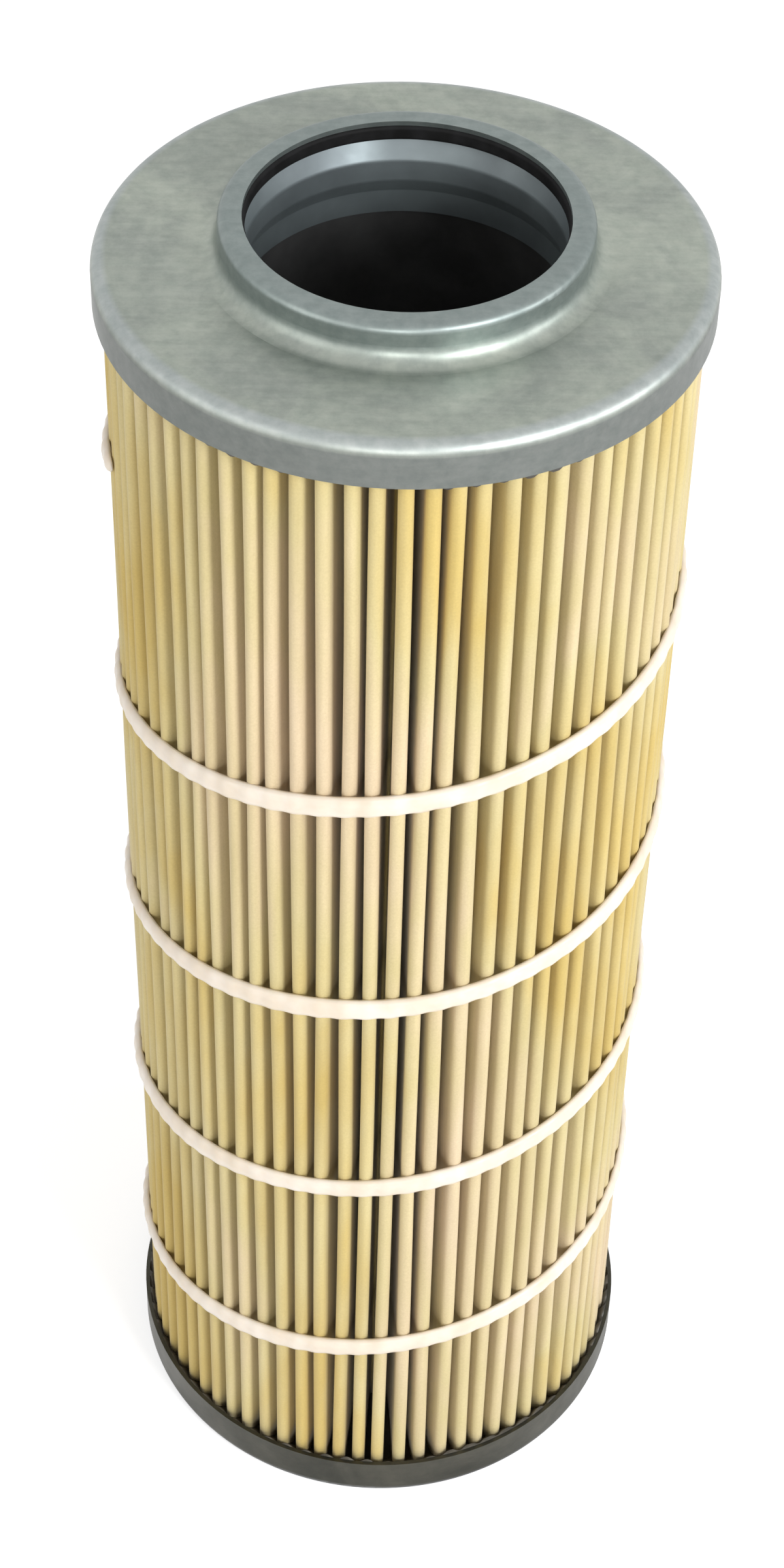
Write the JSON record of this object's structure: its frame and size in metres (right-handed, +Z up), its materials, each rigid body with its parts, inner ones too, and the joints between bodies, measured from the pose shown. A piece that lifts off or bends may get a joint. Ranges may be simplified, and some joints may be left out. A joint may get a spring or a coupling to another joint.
{
  "type": "pleated filter element",
  "caption": "Pleated cylindrical filter element with steel end caps, a raised neck with a sealed bore on top, a closed lower cap and a spiral glue bead over the paper folds.",
  "frame": {"origin": "centre of the lower end cap's underside", "axes": "+Z up along the element's axis, out of the neck; -Y is the side that faces the viewer"},
  "size_m": [0.099, 0.099, 0.2786],
  "materials": {
    "cap_steel": "satin",
    "inner_steel": "satin",
    "seal_rubber": "matte",
    "filter_paper": "matte",
    "glue": "satin",
    "potting": "matte"
  },
  "bodies": {
    "root": {"top_end_cap": "cap_steel", "bottom_end_cap": "cap_steel", "neck_seal": "seal_rubber", "seal_retainer": "inner_steel", "core_tube": "inner_steel", "pleated_media": "filter_paper", "media_seam": "glue", "glue_bead": "glue", "top_potting": "potting", "bottom_potting": "potting"}
  },
  "joints": []
}
